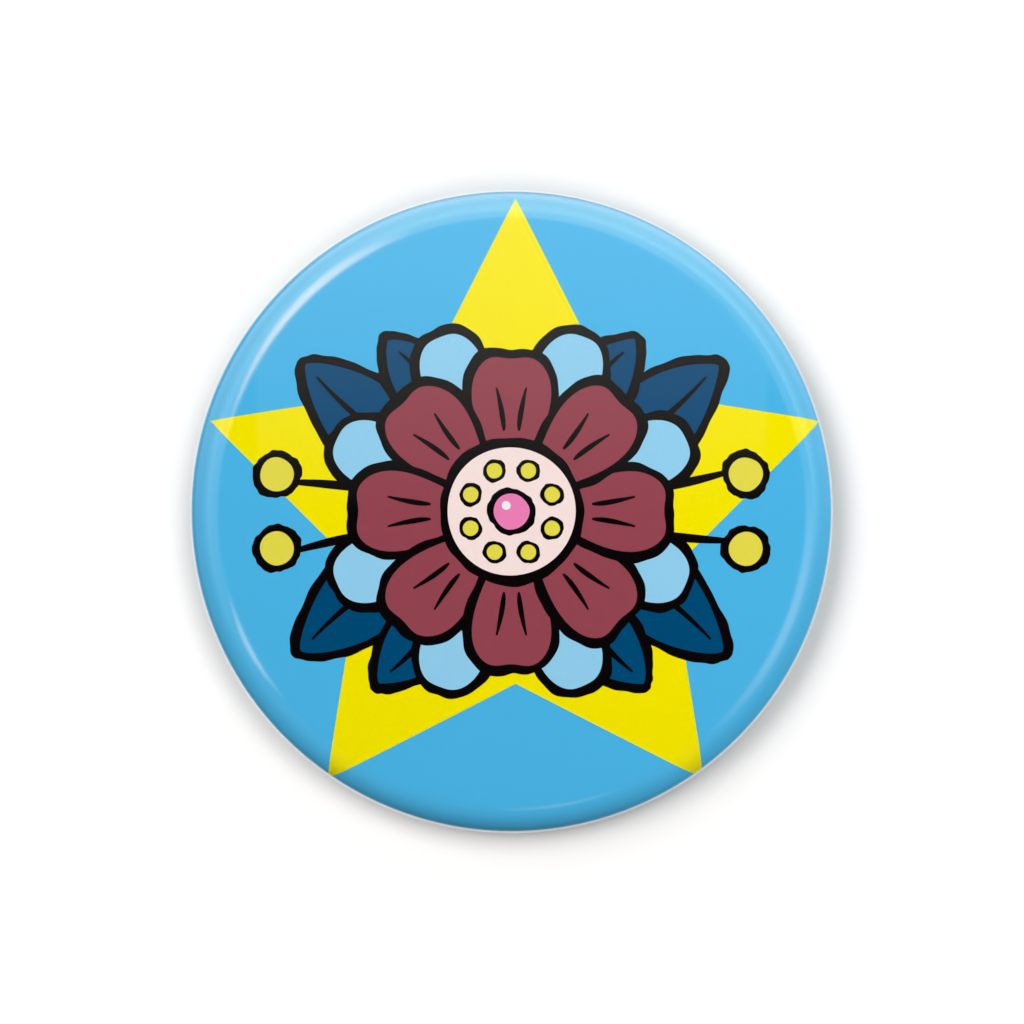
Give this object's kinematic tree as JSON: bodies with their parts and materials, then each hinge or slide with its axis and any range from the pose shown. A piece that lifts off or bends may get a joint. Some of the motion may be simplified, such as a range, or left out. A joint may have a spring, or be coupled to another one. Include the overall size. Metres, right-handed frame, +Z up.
{
  "type": "button badge",
  "caption": "Round domed metal button badge with a film-covered printed face and a swinging safety pin on its recessed back.",
  "frame": {"origin": "centre of the plane that the crest of the back plate's rim bead lies in, which is where the badge meets the cloth", "axes": "+Y out of the badge's back, so its printed face looks along -Y; +Z up as worn, with the star's point up; +X to the right as seen from the front, along the pin from coil to clasp"},
  "size_m": [0.044, 0.0058, 0.044],
  "materials": {
    "film": "clear glossy polyester film over the print",
    "paper": "printed paper, sky blue with a yellow star",
    "shell_tinplate": "bright tinplate",
    "back_tinplate": "bright tinplate with faint rolling lines",
    "pin_steel": "nickel-plated spring wire",
    "clasp_steel": "nickel-plated sheet"
  },
  "bodies": {
    "badge": {"clear_film": "film", "printed_paper": "paper", "front_shell": "shell_tinplate", "back_plate": "back_tinplate", "pin_wire": "pin_steel", "pin_clasp": "clasp_steel"},
    "arm": {"pin_arm": "pin_steel"}
  },
  "joints": [
    {"name": "pin_swing", "type": "hinge", "parent": "badge", "child": "arm", "pos_m": [-0.0123, -0.00078, -0.00156], "axis": [0, -0.4226, 0.9063], "range_deg": [0, 60]}
  ]
}
